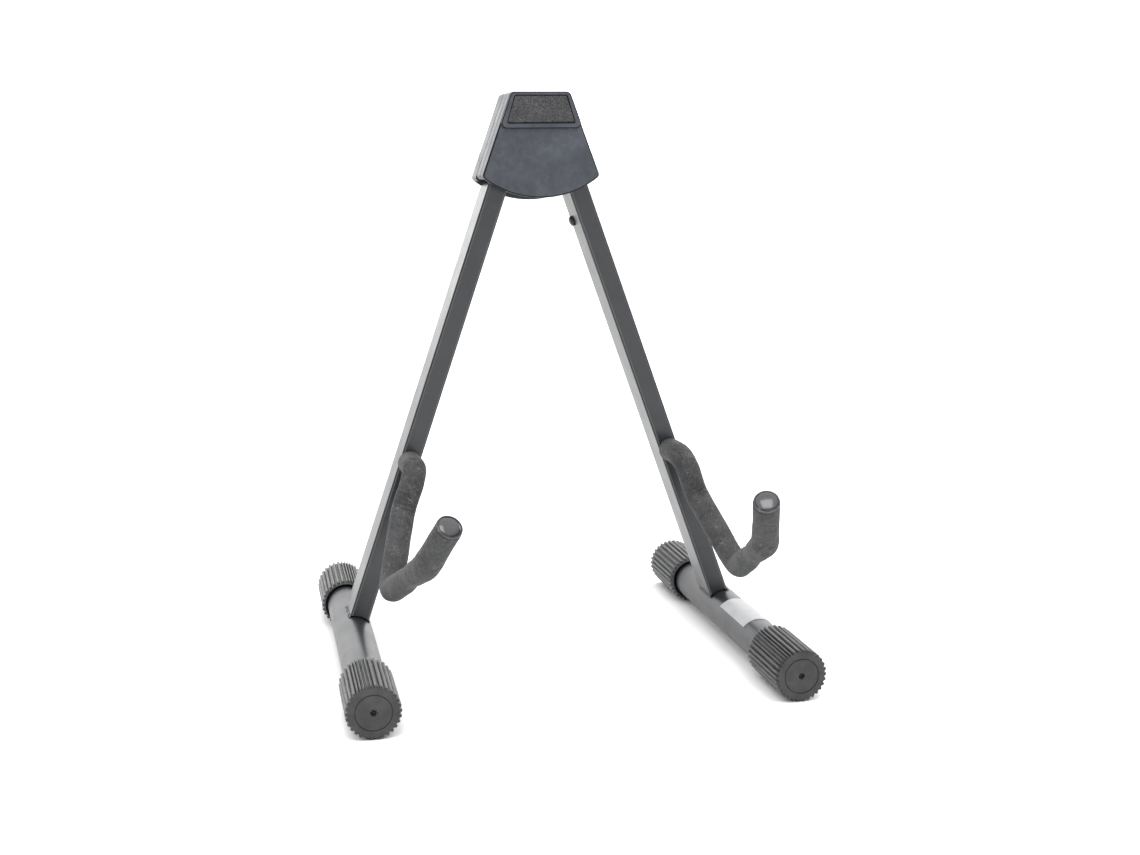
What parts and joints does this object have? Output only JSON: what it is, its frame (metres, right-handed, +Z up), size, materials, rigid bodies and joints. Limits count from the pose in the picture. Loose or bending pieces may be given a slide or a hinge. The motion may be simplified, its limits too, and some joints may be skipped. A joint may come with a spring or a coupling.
{
  "type": "guitar stand",
  "caption": "Folding A-frame floor stand: two hinged legs on ribbed round feet, a padded head and two foam-covered hooked arms that cradle a guitar body.",
  "frame": {"origin": "centre of the stand's footprint, on the floor", "axes": "+Z up, -Y the front where the guitar rests, +X to the right seen from the front"},
  "size_m": [0.2904, 0.3103, 0.3632],
  "materials": {
    "powder_black": "satin black powder coat",
    "head_plastic": "moulded, low sheen",
    "pad_rubber": "fine pebble texture",
    "cap_rubber": "ribbed, matt",
    "sleeve_foam": "mottled matt foam",
    "tip_plastic": "glossy dome",
    "zinc_steel": "zinc plated",
    "nylon": "natural",
    "label_paper": "plain printed panel, no lettering"
  },
  "bodies": {
    "head": {"head_front_shell": "head_plastic", "head_rear_shell": "head_plastic", "head_pad": "pad_rubber", "cover_screw": "zinc_steel", "pivot_bolt_left": "zinc_steel", "pivot_bolt_right": "zinc_steel", "pivot_washer_left": "zinc_steel", "pivot_washer_right": "zinc_steel", "pivot_nut_left": "zinc_steel", "pivot_nut_right": "zinc_steel"},
    "left_leg": {"leg_tube_left": "powder_black", "foot_tube_left": "powder_black", "front_cap_left": "cap_rubber", "rear_cap_left": "cap_rubber", "pivot_bush_left": "nylon", "arm_rod_left": "zinc_steel", "arm_sleeve_left": "sleeve_foam", "arm_tip_left": "tip_plastic"},
    "right_leg": {"leg_tube_right": "powder_black", "foot_tube_right": "powder_black", "front_cap_right": "cap_rubber", "rear_cap_right": "cap_rubber", "pivot_bush_right": "nylon", "arm_rod_right": "zinc_steel", "arm_sleeve_right": "sleeve_foam", "arm_tip_right": "tip_plastic", "fold_bumper": "cap_rubber", "foot_label": "label_paper"}
  },
  "joints": [
    {"name": "left_leg_fold", "type": "hinge", "parent": "head", "child": "left_leg", "pos_m": [-0.01074, 0.05787, 0.34719], "axis": [0, -0.9995, 0.0332], "range_deg": [0, 17.8]},
    {"name": "right_leg_fold", "type": "hinge", "parent": "head", "child": "right_leg", "pos_m": [0.01074, 0.05787, 0.34719], "axis": [0, 0.9995, -0.0332], "range_deg": [0, 17.8]}
  ]
}
